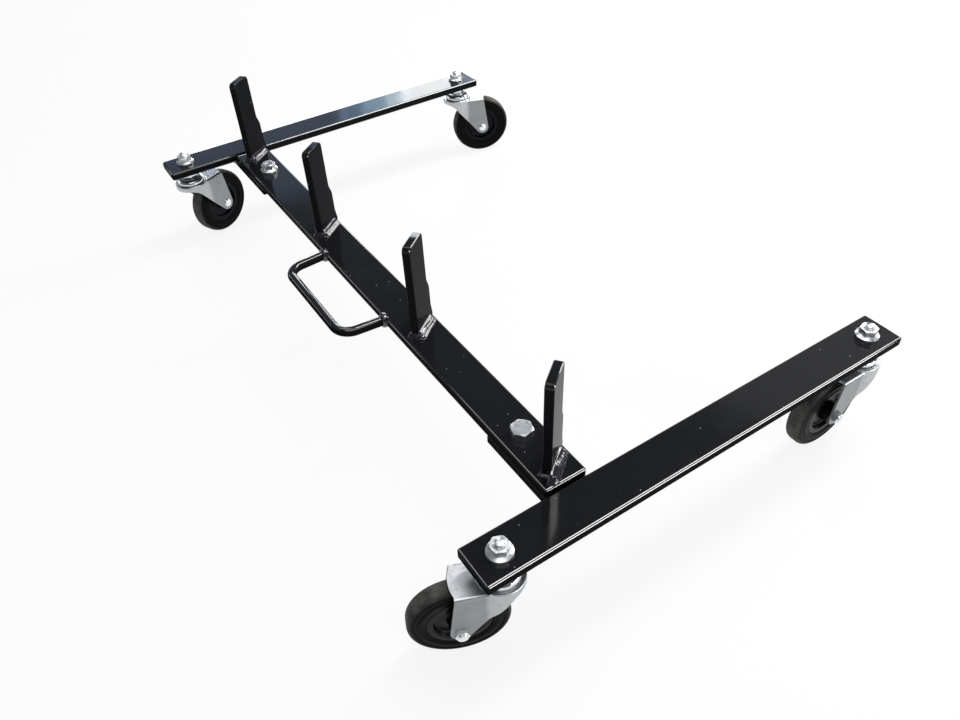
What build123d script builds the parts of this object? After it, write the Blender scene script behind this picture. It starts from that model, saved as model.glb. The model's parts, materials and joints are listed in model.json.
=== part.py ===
# Rolling rack for vehicle positioning dollies.
# Two cross bars stand on four swivel casters and carry one main bar, off centre, with four posts
# and a handle. Millimetres, +Z up. The origin is on the floor at the centre of the caster pattern,
# +Y runs along the main bar from the near cross bar to the far one.
import os
from math import acos, atan2, cos, hypot, radians, sin, sqrt, tan

from build123d import *

os.makedirs("parts", exist_ok=True)

# Frame bars, all of one flat stock
bar_width = 50.0
bar_thickness = 12.0
bar_edge_radius = 1.8
cross_bar_length = 560.0
cross_bar_spacing = 870.0
main_bar_x = -152.0
main_bar_end_gap = 5.0

# Stub plates under the bar joints, measured from the cross bar's centre line
stub_thickness = 10.0
stub_edge_radius = 1.2
stub_inner_reach = 131.0
stub_outer_reach = 15.0
joint_bolt_reach = 103.5
stub_weld_leg = 6.0

# Near joint: bolt with its head on top and a plain nut below
near_bolt_diameter = 14.0
near_head_flats = 22.0
near_head_height = 9.0
near_head_turn = 12.0
near_nut_height = 12.0
near_bolt_protrusion = 3.5

# Far joint: bolt with its head below and a flange nut on top
far_bolt_diameter = 12.0
far_head_flats = 18.0
far_head_height = 7.5
far_bolt_recess = 1.5
far_nut_turn = 41.0

# Posts, stepped plates set diagonally on the main bar: the near one is placed from the bar's near
# end, the others in even steps from its far end
far_post_count = 3
post_pitch = 258.4
post_near_margin = 28.6
post_far_margin = 12.2
post_turn = 38.5
post_height = 122.0
post_thickness = 9.5
post_inset = 12.0
post_foot_overhang = 0.6
post_foot_flare = 3.0
post_flare_bottom = 3.0
post_flare_top = 17.0
post_step = 5.5
post_step_bottom = 44.0
post_step_top = 57.0
post_corner_radius = 6.0
post_bend_radius = 12.0
post_edge_radius = 0.8
post_front_weld_leg = 8.0
post_back_weld_leg = 5.0
post_end_weld_leg = 6.0
weld_bulge = 0.56

# Handle, a bent round rod
handle_rod_diameter = 12.0
handle_length = 179.0
handle_reach = 61.0
handle_splay = 4.3
handle_bend_radius = 21.0
handle_weld_reach = 5.0
handle_weld_rise = 3.2

# Casters: place of each stem and the way each fork trails, in degrees from +X
stem_inset = 30.0
near_left_trail_angle = 157.5
near_right_trail_angle = 180.0
far_left_trail_angle = 26.0
far_right_trail_angle = -20.5

# Wheel
wheel_diameter = 101.6
tyre_width = 20.5
tyre_shoulder_radius = 6.0
tyre_bore_edge_radius = 1.2
rim_diameter = 64.0
rim_width = 18.5
recess_diameter = 52.0
recess_draft = 2.0
web_thickness = 8.0
hub_diameter = 22.0
hub_side_gap = 0.6

# Axle
axle_diameter = 8.0
axle_head_diameter = 13.5
axle_head_height = 3.5
axle_nut_flats = 13.0
axle_nut_height = 4.5
axle_nut_collar_diameter = 11.0
axle_nut_collar_height = 1.8
axle_end_protrusion = 0.4
bush_wall = 2.4

# Fork, pressed from one sheet
trail = 42.0
fork_sheet = 2.5
fork_gap = 35.5
fork_top_gap = 1.9
fork_back_reach = 4.0
fork_back_bow = 3.2
fork_bend_radius = 3.0
fork_blend_radius = 12.0
leg_foot_radius = 11.0
leg_front_lead = 6.0
leg_front_drop = 12.5
crown_diameter = 49.0
crown_raise = 2.0
crown_edge_radius = 1.5
crown_skirt_height = 5.5
crown_ledge = 0.6

# Swivel race
ball_count = 10
ball_diameter = 6.35
ball_circle_diameter = 29.0
groove_depth = 1.2
cap_sheet = 2.5
cap_rim_gap = 0.7
kingpin_diameter = 10.0
kingpin_head_diameter = 15.0
kingpin_head_height = 3.7
washer_diameter = 19.0
washer_thickness = 2.0

# Stem, and the way each stem nut is turned
stem_diameter = 12.0
stem_hex_flats = 22.0
stem_hex_height = 12.15
stem_protrusion = 4.0
near_left_nut_turn = 33.5
near_right_nut_turn = 18.0
far_left_nut_turn = 37.5
far_right_nut_turn = 26.5

# Flange nuts on the stems and the far joint
flange_nut_flats = 18.0
flange_nut_height = 12.0
flange_diameter = 26.0
flange_edge_height = 2.6
flange_rise = 2.2

# Shared forms of bolts and hex pieces
thread_end_chamfer = 1.5
hex_chamfer_angle = 30.0
head_rim_width = 1.8
head_dish_depth = 0.5

# Clearances
bolt_hole_clearance = 0.25
thread_clearance = 0.05
running_clearance = 0.08
ball_groove_clearance = 0.05
ball_cap_clearance = 0.15
washer_gap = 0.3

# Heights, stacked up from the floor
axle_height = wheel_diameter / 2
fork_top = wheel_diameter + fork_top_gap + fork_sheet
crown_top = fork_top + crown_raise
crown_underside = crown_top - fork_sheet
ball_height = crown_top - groove_depth + ball_groove_clearance + ball_diameter / 2
cap_inside = ball_height + ball_diameter / 2 + ball_cap_clearance
cap_top = cap_inside + cap_sheet
bar_underside = cap_top + stem_hex_height
bar_top = bar_underside + bar_thickness
bar_middle = bar_underside + bar_thickness / 2
stub_underside = bar_underside - stub_thickness

# Places that follow from the sizes above
cross_bar_y = cross_bar_spacing / 2
caster_x = cross_bar_length / 2 - stem_inset
main_bar_length = cross_bar_spacing - bar_width - 2 * main_bar_end_gap
main_bar_left = main_bar_x - bar_width / 2
near_post_y = post_near_margin - main_bar_length / 2
last_post_y = main_bar_length / 2 - post_far_margin
joint_y = cross_bar_y - joint_bolt_reach
near_hole_radius = near_bolt_diameter / 2 + bolt_hole_clearance
far_hole_radius = far_bolt_diameter / 2 + bolt_hole_clearance
stem_hole_radius = stem_diameter / 2 + bolt_hole_clearance
fork_half_width = fork_gap / 2 + fork_sheet
crown_radius = crown_diameter / 2
ball_circle_radius = ball_circle_diameter / 2
bush_radius = axle_diameter / 2 + thread_clearance + bush_wall


def save(builder, node, place=Location()):
    piece = builder.part.moved(place)
    piece.label = node
    export_step(piece, f"parts/{node}.step")


def make_cross_bar(node, y):
    with BuildPart() as bar:
        with BuildSketch(Plane.XY.offset(bar_underside)):
            with Locations((0, y)):
                Rectangle(cross_bar_length, bar_width)
        extrude(amount=bar_thickness)
        fillet(bar.edges(), bar_edge_radius)
        with BuildSketch(Plane.XY.offset(bar_underside)):
            with Locations((-caster_x, y), (caster_x, y)):
                Circle(stem_hole_radius)
        extrude(amount=bar_thickness, mode=Mode.SUBTRACT)
    save(bar, node)


def make_stub_plate(node, side, hole_radius):
    inner_y = side * (cross_bar_y - stub_inner_reach)
    outer_y = side * (cross_bar_y + stub_outer_reach)
    with BuildPart() as stub:
        with BuildSketch(Plane.XY.offset(stub_underside)):
            with Locations((main_bar_x, (inner_y + outer_y) / 2)):
                Rectangle(bar_width, abs(outer_y - inner_y))
        extrude(amount=stub_thickness)
        fillet(stub.edges(), stub_edge_radius)
        with BuildSketch(Plane.XY.offset(stub_underside)):
            with Locations((main_bar_x, side * joint_y)):
                Circle(hole_radius)
        extrude(amount=stub_thickness, mode=Mode.SUBTRACT)
    save(stub, node)


# Each bead fills the corner between two faces that leave the corner line in the directions
# first and second; it runs from its start along first x second.
def make_welds(node, beads):
    with BuildPart() as welds:
        for start, first, second, leg, length in beads:
            with BuildSketch(Plane(origin=start, x_dir=first, z_dir=first.cross(second))):
                with BuildLine():
                    Line((0, leg), (0, 0))
                    Line((0, 0), (leg, 0))
                    ThreePointArc((leg, 0), (weld_bulge * leg, weld_bulge * leg), (0, leg))
                make_face()
            extrude(amount=length)
    save(welds, node)


# Seat plane at a place on an axis along Z; turn sets the hexagon's corners, in degrees from +X.
def hex_seat(x, y, z, turn=0.0, up=1):
    return Plane(origin=(x, y, z), x_dir=(cos(radians(turn)), sin(radians(turn)), 0), z_dir=(0, 0, up))


# Forged hex head, dished on top, and shank; the seat plane looks from the clamped face toward the head.
def make_hex_bolt(node, seat, diameter, flats, head_height, shank_length):
    head_radius = flats / sqrt(3)
    cone_radius = flats / 2
    cone_drop = (head_radius - cone_radius) * tan(radians(hex_chamfer_angle))
    side = Plane(origin=seat.origin, x_dir=seat.x_dir, z_dir=-seat.y_dir)
    with BuildPart() as bolt:
        with BuildSketch(seat):
            RegularPolygon(cone_radius, 6, major_radius=False)
        extrude(amount=head_height)
        with BuildSketch(side):
            Polygon(
                (cone_radius, head_height),
                (head_radius, head_height - cone_drop),
                (head_radius, head_height),
                align=None,
            )
        revolve(axis=Axis(seat.origin, seat.z_dir), mode=Mode.SUBTRACT)
        with BuildSketch(seat.offset(head_height)):
            Circle(cone_radius - head_rim_width)
        extrude(amount=-head_dish_depth, mode=Mode.SUBTRACT)
        with BuildSketch(seat):
            Circle(diameter / 2)
        extrude(amount=-shank_length)
        chamfer(bolt.edges().sort_by(Axis(seat.origin, seat.z_dir))[0], thread_end_chamfer)
    save(bolt, node)


def make_plain_nut(node, seat, diameter, flats, height):
    corner_radius = flats / sqrt(3)
    cone_radius = flats / 2
    cone_drop = (corner_radius - cone_radius) * tan(radians(hex_chamfer_angle))
    side = Plane(origin=seat.origin, x_dir=seat.x_dir, z_dir=-seat.y_dir)
    with BuildPart() as nut:
        with BuildSketch(seat):
            RegularPolygon(cone_radius, 6, major_radius=False)
            Circle(diameter / 2 + thread_clearance, mode=Mode.SUBTRACT)
        extrude(amount=height)
        with BuildSketch(side):
            Polygon(
                (cone_radius, height),
                (corner_radius, height - cone_drop),
                (corner_radius, height),
                align=None,
            )
        revolve(axis=Axis(seat.origin, seat.z_dir), mode=Mode.SUBTRACT)
    save(nut, node)


# Hex nuts with a coned flange, one on every seat plane.
def make_flange_nuts(node, seats, thread_diameter):
    corner_radius = flange_nut_flats / sqrt(3)
    cone_radius = flange_nut_flats / 2
    cone_drop = (corner_radius - cone_radius) * tan(radians(hex_chamfer_angle))
    flange_radius = flange_diameter / 2
    with BuildPart() as nuts:
        for seat in seats:
            side = Plane(origin=seat.origin, x_dir=seat.x_dir, z_dir=-seat.y_dir)
            turn_axis = Axis(seat.origin, seat.z_dir)
            with BuildSketch(seat):
                RegularPolygon(cone_radius, 6, major_radius=False)
            extrude(amount=flange_nut_height)
            with BuildSketch(side):
                Polygon(
                    (cone_radius, flange_nut_height),
                    (corner_radius, flange_nut_height - cone_drop),
                    (corner_radius, flange_nut_height),
                    align=None,
                )
            revolve(axis=turn_axis, mode=Mode.SUBTRACT)
            with BuildSketch(side):
                Polygon(
                    (0, 0),
                    (flange_radius, 0),
                    (flange_radius, flange_edge_height),
                    (cone_radius, flange_edge_height + flange_rise),
                    (0, flange_edge_height + flange_rise),
                    align=None,
                )
            revolve(axis=turn_axis)
            with BuildSketch(seat):
                Circle(thread_diameter / 2 + thread_clearance)
            extrude(amount=flange_nut_height, mode=Mode.SUBTRACT)
    save(nuts, node)


# Point where a line from the given point touches the circle; turn is +1 or -1 for the side.
def tangent_point(centre, radius, point, turn):
    across = point[0] - centre[0]
    up = point[1] - centre[1]
    angle = atan2(up, across) + turn * acos(radius / hypot(across, up))
    return (centre[0] + radius * cos(angle), centre[1] + radius * sin(angle))


# Cross bars, stub plates and main bar
make_cross_bar("near_cross_bar", -cross_bar_y)
make_cross_bar("far_cross_bar", cross_bar_y)
make_stub_plate("near_stub_plate", -1, near_hole_radius)
make_stub_plate("far_stub_plate", 1, far_hole_radius)

with BuildPart() as main_bar:
    with BuildSketch(Plane.XY.offset(bar_underside)):
        with Locations((main_bar_x, 0)):
            Rectangle(bar_width, main_bar_length)
    extrude(amount=bar_thickness)
    fillet(main_bar.edges(), bar_edge_radius)
    with BuildSketch(Plane.XY.offset(bar_underside)):
        with Locations((main_bar_x, -joint_y)):
            Circle(near_hole_radius)
        with Locations((main_bar_x, joint_y)):
            Circle(far_hole_radius)
    extrude(amount=bar_thickness, mode=Mode.SUBTRACT)
save(main_bar, "main_bar")

# Welds that hold the stub plates to the undersides of the cross bars
up = Vector(0, 0, 1)
down = Vector(0, 0, -1)
stub_weld_length = stub_outer_reach + bar_width / 2 - bar_edge_radius - stub_edge_radius
stub_end_weld_length = bar_width - 2 * stub_edge_radius
stub_beads = []
for end in (-1, 1):
    outer_y = end * (cross_bar_y + stub_outer_reach)
    middle_y = outer_y - end * (stub_edge_radius + stub_weld_length / 2)
    for edge in (-1, 1):
        edge_x = main_bar_x + edge * bar_width / 2
        side_start = (edge_x, middle_y - edge * stub_weld_length / 2, bar_underside)
        stub_beads.append((side_start, Vector(edge, 0, 0), down, stub_weld_leg, stub_weld_length))
    end_start = (main_bar_x + end * stub_end_weld_length / 2, outer_y, bar_underside)
    stub_beads.append((end_start, Vector(0, end, 0), down, stub_weld_leg, stub_end_weld_length))
make_welds("stub_welds", stub_beads)

# Joint fasteners: head on top at the near joint, nut on top at the far joint
joint_grip = bar_thickness + stub_thickness
near_top_seat = hex_seat(main_bar_x, -joint_y, bar_top, near_head_turn)
near_under_seat = hex_seat(main_bar_x, -joint_y, stub_underside, up=-1)
far_top_seat = hex_seat(main_bar_x, joint_y, bar_top, far_nut_turn)
far_under_seat = hex_seat(main_bar_x, joint_y, stub_underside, up=-1)
make_hex_bolt(
    "near_joint_bolt",
    near_top_seat,
    near_bolt_diameter,
    near_head_flats,
    near_head_height,
    joint_grip + near_nut_height + near_bolt_protrusion,
)
make_plain_nut("near_joint_nut", near_under_seat, near_bolt_diameter, near_head_flats, near_nut_height)
make_hex_bolt(
    "far_joint_bolt",
    far_under_seat,
    far_bolt_diameter,
    far_head_flats,
    far_head_height,
    joint_grip + flange_nut_height - far_bolt_recess,
)
make_flange_nuts("far_joint_nut", [far_top_seat], far_bolt_diameter)

# Posts and the welds at their feet
along = Vector(cos(radians(post_turn)), sin(radians(post_turn)), 0)
facing = Vector(sin(radians(post_turn)), -cos(radians(post_turn)), 0)
foot_span = bar_width - post_inset - post_thickness / 2 * facing.X + post_foot_overhang
post_foot_width = foot_span / along.X
post_middle_width = post_foot_width - post_foot_flare
post_top_width = post_middle_width - post_step
front_weld_span = foot_span - post_foot_overhang - bar_edge_radius - post_front_weld_leg * facing.X
post_places = [near_post_y] + [last_post_y - steps * post_pitch for steps in reversed(range(far_post_count))]
post_beads = []
for number, foot_middle_y in enumerate(post_places, start=1):
    foot_left_y = foot_middle_y - post_foot_width / 2 * along.Y
    foot_left = Vector(main_bar_left + post_inset, foot_left_y, bar_top)
    with BuildPart() as post:
        with BuildSketch(Plane(origin=foot_left, x_dir=along, z_dir=facing)) as outline:
            Polygon(
                (0, 0),
                (post_foot_width, 0),
                (post_foot_width, post_flare_bottom),
                (post_middle_width, post_flare_top),
                (post_middle_width, post_step_bottom),
                (post_top_width, post_step_top),
                (post_top_width, post_height),
                (0, post_height),
                align=None,
            )
            corners = outline.vertices().group_by(Axis.Y)
            fillet(corners[-1], post_corner_radius)
            bends = outline.vertices().filter_by_position(Axis.Y, post_flare_top, post_step_top)
            fillet(bends, post_bend_radius)
        extrude(amount=post_thickness / 2, both=True)
        rims = post.faces().filter_by(Axis(foot_left, facing)).edges()
        free_rims = rims.filter_by_position(Axis.Z, bar_top + post_edge_radius, bar_top + post_height)
        fillet(free_rims, post_edge_radius)
    save(post, f"post_{number}")
    front_start = foot_left + along * (front_weld_span / along.X) + facing * (post_thickness / 2)
    back_start = foot_left - facing * (post_thickness / 2)
    end_length = post_thickness - 2 * post_edge_radius
    end_start = foot_left + facing * (end_length / 2)
    post_beads.append((front_start, facing, up, post_front_weld_leg, front_weld_span / along.X))
    post_beads.append((back_start, facing * -1, up, post_back_weld_leg, post_foot_width))
    post_beads.append((end_start, along * -1, up, post_end_weld_leg, end_length))
make_welds("post_welds", post_beads)

# Handle: a rod bent to a flat U; its arms spread a little toward the main bar's left side, where
# they end flush. The rod runs on into the bar first, and the bar's side face trims it.
handle_radius = handle_rod_diameter / 2
handle_end_y = handle_length / 2 - handle_radius
handle_corner_y = handle_end_y - handle_splay
handle_corner_x = main_bar_left - handle_reach + handle_radius
arm_slope = handle_splay / (main_bar_left - handle_corner_x)
run_on_x = main_bar_left + handle_radius
run_on_y = handle_end_y + arm_slope * handle_radius
with BuildPart() as handle:
    with BuildLine(Plane.XY.offset(bar_middle)) as rod_line:
        FilletPolyline(
            (run_on_x, -run_on_y),
            (handle_corner_x, -handle_corner_y),
            (handle_corner_x, handle_corner_y),
            (run_on_x, run_on_y),
            radius=handle_bend_radius,
        )
    with BuildSketch(Plane(origin=rod_line.line @ 0, z_dir=rod_line.line % 0)):
        Circle(handle_radius)
    sweep()
    split(bisect_by=Plane.YZ.offset(main_bar_left), keep=Keep.BOTTOM)
save(handle, "handle")

# Handle welds: a bead round each rod end that laps over the bar's top and bottom edges
with BuildPart() as handle_welds:
    for end in (-1, 1):
        rod_y = end * handle_end_y
        with BuildSketch(Plane.XY.offset(bar_middle)):
            with Locations((main_bar_left, rod_y + handle_radius)):
                Ellipse(handle_weld_reach, handle_weld_rise)
        revolve(axis=Axis((main_bar_left, rod_y, bar_middle), (1, 0, 0)))
    add(handle.part, mode=Mode.SUBTRACT)
    add(main_bar.part, mode=Mode.SUBTRACT)
save(handle_welds, "handle_welds")

# Nuts on the four stems
stem_places = [
    (-caster_x, -cross_bar_y),
    (caster_x, -cross_bar_y),
    (-caster_x, cross_bar_y),
    (caster_x, cross_bar_y),
]
nut_turns = [near_left_nut_turn, near_right_nut_turn, far_left_nut_turn, far_right_nut_turn]
nut_seats = [hex_seat(x, y, bar_top, turn) for (x, y), turn in zip(stem_places, nut_turns)]
make_flange_nuts("stem_nuts", nut_seats, stem_diameter)

# Washers that hold the crowns up on the kingpins
washer_top = crown_underside - washer_gap
washer_underside = washer_top - washer_thickness
with BuildPart() as kingpin_washers:
    with BuildSketch(Plane.XY.offset(washer_underside)):
        with Locations(*stem_places):
            Circle(washer_diameter / 2)
            Circle(kingpin_diameter / 2 + thread_clearance, mode=Mode.SUBTRACT)
    extrude(amount=washer_thickness)
save(kingpin_washers, "kingpin_washers")


# One caster: stem and race cap stay with the frame, fork and axle swivel, tyre and core roll.
# It is drawn with its stem on the Z axis and its wheel trailing along +X, then moved to its place.
def make_caster(name, stem_place, trail_angle):
    place = Location((*stem_place, 0), (0, 0, trail_angle))
    axle = Vector(trail, 0, axle_height)
    right = Vector(0, -1, 0)
    across = Plane(origin=axle, x_dir=right, z_dir=(-1, 0, 0))
    axle_axis = Axis(axle, right)

    # Stem: riveted kingpin, hex collar under the bar, threaded end through the bar and nut
    stem_top = bar_top + flange_nut_height + stem_protrusion
    with BuildPart() as stem:
        with BuildSketch(Plane.XY.offset(washer_underside)):
            Circle(kingpin_diameter / 2)
        extrude(amount=cap_top - washer_underside)
        with BuildSketch(Plane.XZ):
            with BuildLine():
                Line((0, washer_underside - kingpin_head_height), (0, washer_underside))
                Line((0, washer_underside), (kingpin_head_diameter / 2, washer_underside))
                EllipticalCenterArc(
                    (0, washer_underside),
                    kingpin_head_diameter / 2,
                    kingpin_head_height,
                    start_angle=270,
                    arc_size=90,
                )
            make_face()
        revolve(axis=Axis.Z)
        with BuildSketch(Plane.XY.offset(cap_top)):
            RegularPolygon(stem_hex_flats / 2, 6, major_radius=False)
        extrude(amount=stem_hex_height)
        with BuildSketch(Plane.XY.offset(bar_underside)):
            Circle(stem_diameter / 2)
        extrude(amount=stem_top - bar_underside)
        chamfer(stem.edges().group_by(Axis.Z)[-1], thread_end_chamfer)
    save(stem, f"{name}_stem", place)

    # Race cap: a pressed cup over the balls
    cap_bore = kingpin_diameter / 2 + thread_clearance
    inner_turn = ball_diameter / 2 + ball_cap_clearance
    outer_turn = inner_turn + cap_sheet
    cap_rim = crown_top + cap_rim_gap
    with BuildPart() as race_cap:
        with BuildSketch(Plane.XZ):
            with BuildLine():
                Polyline(
                    (ball_circle_radius, cap_top),
                    (cap_bore, cap_top),
                    (cap_bore, cap_inside),
                    (ball_circle_radius, cap_inside),
                )
                CenterArc((ball_circle_radius, ball_height), inner_turn, 0, 90)
                Polyline(
                    (ball_circle_radius + inner_turn, ball_height),
                    (ball_circle_radius + inner_turn, cap_rim),
                    (ball_circle_radius + outer_turn, cap_rim),
                    (ball_circle_radius + outer_turn, ball_height),
                )
                CenterArc((ball_circle_radius, ball_height), outer_turn, 0, 90)
            make_face()
        revolve(axis=Axis.Z)
    save(race_cap, f"{name}_race_cap", place)

    # Ball ring in the crown's groove
    with BuildPart() as balls:
        with Locations(Plane.XY.offset(ball_height)):
            with PolarLocations(ball_circle_radius, ball_count):
                Sphere(ball_diameter / 2)
    save(balls, f"{name}_balls", place)

    # Fork: outer block cut to the side outline, hollowed, with a dished crown that has a ball groove
    foot_centre = (trail, axle_height)
    back_corner = (trail + fork_back_reach, fork_top)
    front_point = (-leg_front_lead, fork_top - leg_front_drop)
    back_touch = tangent_point(foot_centre, leg_foot_radius, back_corner, -1)
    front_touch = tangent_point(foot_centre, leg_foot_radius, front_point, 1)
    lowest = (trail, axle_height - leg_foot_radius)
    skirt_rim = fork_top - crown_skirt_height
    block_back = trail + leg_foot_radius
    groove_radius = ball_diameter / 2 + ball_groove_clearance
    groove_half = sqrt(groove_radius**2 - (ball_height - crown_top) ** 2)
    bulge_radius = groove_radius + fork_sheet
    bulge_half = sqrt(bulge_radius**2 - (ball_height - crown_underside) ** 2)
    crown_inner = crown_radius - fork_sheet
    crown_hole = crown_inner - crown_ledge
    bow_half = fork_gap / 2 - fork_sheet
    with BuildPart() as fork:
        with BuildSketch(Plane.XY) as plan:
            Circle(crown_radius)
            with Locations((block_back / 2, 0)):
                Rectangle(block_back, 2 * fork_half_width)
            notches = plan.vertices().filter_by_position(Axis.X, 1, block_back - 1)
            fillet(notches, fork_blend_radius)
        extrude(amount=fork_top)
        with BuildSketch(Plane.XZ):
            with BuildLine():
                Line(back_corner, back_touch)
                ThreePointArc(back_touch, lowest, front_touch)
                Line(front_touch, front_point)
                skirt_sweep = TangentArc(
                    front_point,
                    (-crown_radius, skirt_rim),
                    tangent=(front_point[0] - front_touch[0], front_point[1] - front_touch[1]),
                )
                Polyline(
                    skirt_sweep @ 1,
                    (-crown_diameter, skirt_rim),
                    (-crown_diameter, fork_top),
                    back_corner,
                )
            make_face()
        extrude(amount=crown_diameter, both=True, mode=Mode.INTERSECT)
        fillet(fork.edges().group_by(Axis.Z)[-1].sort_by(Axis.X)[:-1], fork_bend_radius)
        with BuildSketch(Plane.XY) as hollow:
            Circle(crown_inner)
            with Locations((crown_diameter, 0)):
                Rectangle(2 * crown_diameter, fork_gap)
            notches = hollow.vertices().filter_by_position(Axis.X, 1, crown_radius)
            fillet(notches, fork_blend_radius + fork_sheet)
        extrude(amount=fork_top - fork_sheet, mode=Mode.SUBTRACT)
        with BuildSketch(Plane.XY.offset(fork_top - fork_sheet)):
            with BuildLine():
                Line((trail + fork_back_reach, bow_half), (trail + fork_back_reach, -bow_half))
                ThreePointArc(
                    (trail + fork_back_reach, -bow_half),
                    (trail + fork_back_reach + fork_back_bow, 0),
                    (trail + fork_back_reach, bow_half),
                )
            make_face()
        extrude(amount=fork_sheet)
        with BuildSketch(Plane.XY):
            Circle(crown_hole)
        extrude(amount=fork_top, mode=Mode.SUBTRACT)
        with BuildSketch(Plane.XZ) as crown_section:
            with BuildLine():
                Polyline(
                    (ball_circle_radius - groove_half, crown_top),
                    (kingpin_diameter / 2 + running_clearance, crown_top),
                    (kingpin_diameter / 2 + running_clearance, crown_underside),
                    (ball_circle_radius - bulge_half, crown_underside),
                )
                ThreePointArc(
                    (ball_circle_radius - bulge_half, crown_underside),
                    (ball_circle_radius, ball_height - bulge_radius),
                    (ball_circle_radius + bulge_half, crown_underside),
                )
                Polyline(
                    (ball_circle_radius + bulge_half, crown_underside),
                    (crown_hole, crown_underside),
                    (crown_hole, fork_top - fork_sheet),
                    (crown_radius, fork_top - fork_sheet),
                    (crown_radius, crown_top),
                    (ball_circle_radius + groove_half, crown_top),
                )
                ThreePointArc(
                    (ball_circle_radius + groove_half, crown_top),
                    (ball_circle_radius, ball_height - groove_radius),
                    (ball_circle_radius - groove_half, crown_top),
                )
            make_face()
            rim_corner = crown_section.vertices().sort_by_distance((crown_radius, crown_top))[0]
            fillet(rim_corner, crown_edge_radius)
        revolve(axis=Axis.Z)
        with BuildSketch(Plane.XZ):
            with Locations(foot_centre):
                Circle(axle_diameter / 2 + thread_clearance)
        extrude(amount=crown_diameter, both=True, mode=Mode.SUBTRACT)
    save(fork, f"{name}_fork", place)

    # Axle bolt with domed head on the right, lock nut on the left, bush between the legs
    axle_end = fork_half_width + axle_nut_height + axle_nut_collar_height + axle_end_protrusion
    with BuildPart() as axle_bolt:
        with BuildSketch(across):
            with BuildLine():
                Polyline(
                    (fork_half_width + axle_head_height, 0),
                    (-axle_end, 0),
                    (-axle_end, axle_diameter / 2),
                    (fork_half_width, axle_diameter / 2),
                    (fork_half_width, axle_head_diameter / 2),
                )
                EllipticalCenterArc(
                    (fork_half_width, 0),
                    axle_head_height,
                    axle_head_diameter / 2,
                    start_angle=0,
                    arc_size=90,
                )
            make_face()
        revolve(axis=axle_axis)
    save(axle_bolt, f"{name}_axle_bolt", place)

    nut_seat = Plane(origin=axle - right * fork_half_width, x_dir=(1, 0, 0), z_dir=right * -1)
    with BuildPart() as axle_nut:
        with BuildSketch(nut_seat):
            RegularPolygon(axle_nut_flats / 2, 6, major_radius=False)
            Circle(axle_diameter / 2 + thread_clearance, mode=Mode.SUBTRACT)
        extrude(amount=axle_nut_height)
        with BuildSketch(nut_seat.offset(axle_nut_height)):
            Circle(axle_nut_collar_diameter / 2)
            Circle(axle_diameter / 2 + thread_clearance, mode=Mode.SUBTRACT)
        extrude(amount=axle_nut_collar_height)
        fillet(axle_nut.edges().sort_by(axle_axis)[0], axle_nut_collar_height / 2)
    save(axle_nut, f"{name}_axle_nut", place)

    with BuildPart() as axle_bush:
        with BuildSketch(Plane(origin=axle, x_dir=(1, 0, 0), z_dir=right)):
            Circle(bush_radius)
            Circle(axle_diameter / 2 + thread_clearance, mode=Mode.SUBTRACT)
        extrude(amount=fork_gap / 2, both=True)
    save(axle_bush, f"{name}_axle_bush", place)

    # Wheel: recessed core that turns on the bush, tyre moulded round it
    hub_half = fork_gap / 2 - hub_side_gap
    hub_radius = hub_diameter / 2
    recess_radius = recess_diameter / 2
    rim_radius = rim_diameter / 2
    with BuildPart() as wheel_core:
        with BuildSketch(across):
            Polygon(
                (hub_half, bush_radius + running_clearance),
                (hub_half, hub_radius),
                (web_thickness / 2, hub_radius + recess_draft / 2),
                (web_thickness / 2, recess_radius - recess_draft),
                (rim_width / 2, recess_radius),
                (rim_width / 2, rim_radius),
                (-rim_width / 2, rim_radius),
                (-rim_width / 2, recess_radius),
                (-web_thickness / 2, recess_radius - recess_draft),
                (-web_thickness / 2, hub_radius + recess_draft / 2),
                (-hub_half, hub_radius),
                (-hub_half, bush_radius + running_clearance),
                align=None,
            )
        revolve(axis=axle_axis)
    save(wheel_core, f"{name}_wheel_core", place)

    tread_radius = wheel_diameter / 2
    with BuildPart() as tyre:
        with BuildSketch(across) as section:
            with Locations((0, (tread_radius + rim_radius) / 2)):
                Rectangle(tyre_width, tread_radius - rim_radius)
            fillet(section.vertices().group_by(Axis.Y)[-1], tyre_shoulder_radius)
            fillet(section.vertices().group_by(Axis.Y)[0], tyre_bore_edge_radius)
        revolve(axis=axle_axis)
    save(tyre, f"{name}_tyre", place)


make_caster("near_left", stem_places[0], near_left_trail_angle)
make_caster("near_right", stem_places[1], near_right_trail_angle)
make_caster("far_left", stem_places[2], far_left_trail_angle)
make_caster("far_right", stem_places[3], far_right_trail_angle)
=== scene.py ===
"""Looks of the rolling dolly rack: materials, finished pieces, weld beads, floor, light and camera."""
import json
import math

import bmesh
import bpy
from mathutils import Matrix, Quaternion, Vector, noise

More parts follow.
